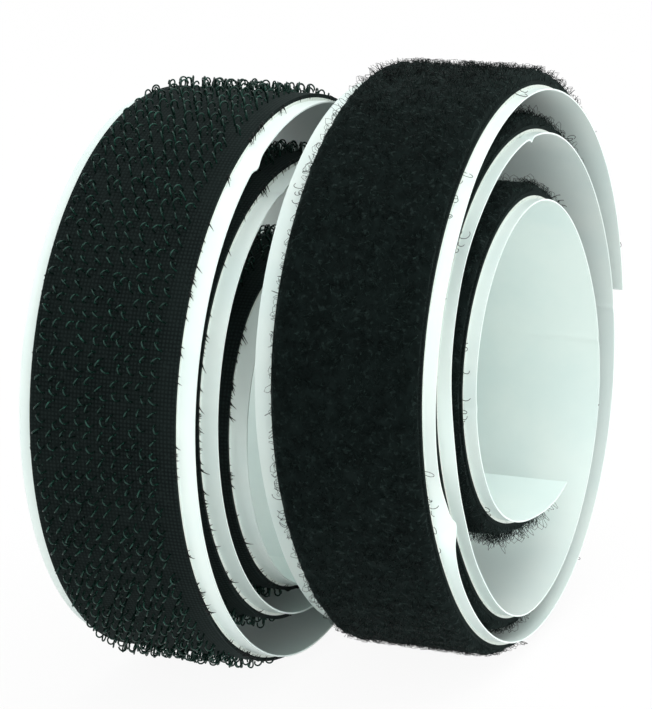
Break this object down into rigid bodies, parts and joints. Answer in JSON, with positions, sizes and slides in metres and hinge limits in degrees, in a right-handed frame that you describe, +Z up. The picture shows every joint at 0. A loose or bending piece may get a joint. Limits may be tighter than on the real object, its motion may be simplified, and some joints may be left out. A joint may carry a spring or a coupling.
{
  "type": "hook and loop tape roll",
  "caption": "Self-adhesive hook tape and matching loop tape, each wound loosely on its own release liner into a free-standing roll.",
  "frame": {"origin": "on the floor, under the middle of the bounding box of the pair", "axes": "+Z up; +X along the rolls' axes, from the hook roll to the loop roll; -Y towards the side that the tapes' fronts face in the picture"},
  "size_m": [0.051, 0.091, 0.0791],
  "materials": {
    "liner_paper": "smooth white release paper, satin, with faint buckles",
    "adhesive_coat": "thin pale acrylic adhesive, slightly glossy",
    "woven_fabric": "plain woven black nylon",
    "hook_filament": "rows of glossy black nylon filament hooks",
    "loop_pile": "dense fuzzy black nylon loops"
  },
  "bodies": {
    "hook_roll": {"hook_release_liner": "liner_paper", "hook_adhesive": "adhesive_coat", "hook_woven_ground": "woven_fabric", "hook_field_base": "hook_filament", "hook_field_front": "hook_filament", "hook_field_top": "hook_filament", "hook_field_rear": "hook_filament"},
    "loop_roll": {"loop_release_liner": "liner_paper", "loop_adhesive": "adhesive_coat", "loop_woven_ground": "woven_fabric", "loop_pile": "loop_pile"}
  },
  "joints": [
    {"name": "loop_roll_shift", "type": "slide", "parent": "hook_roll", "child": "loop_roll", "axis": [1, 0, 0], "range_m": [0, 0.06]}
  ]
}
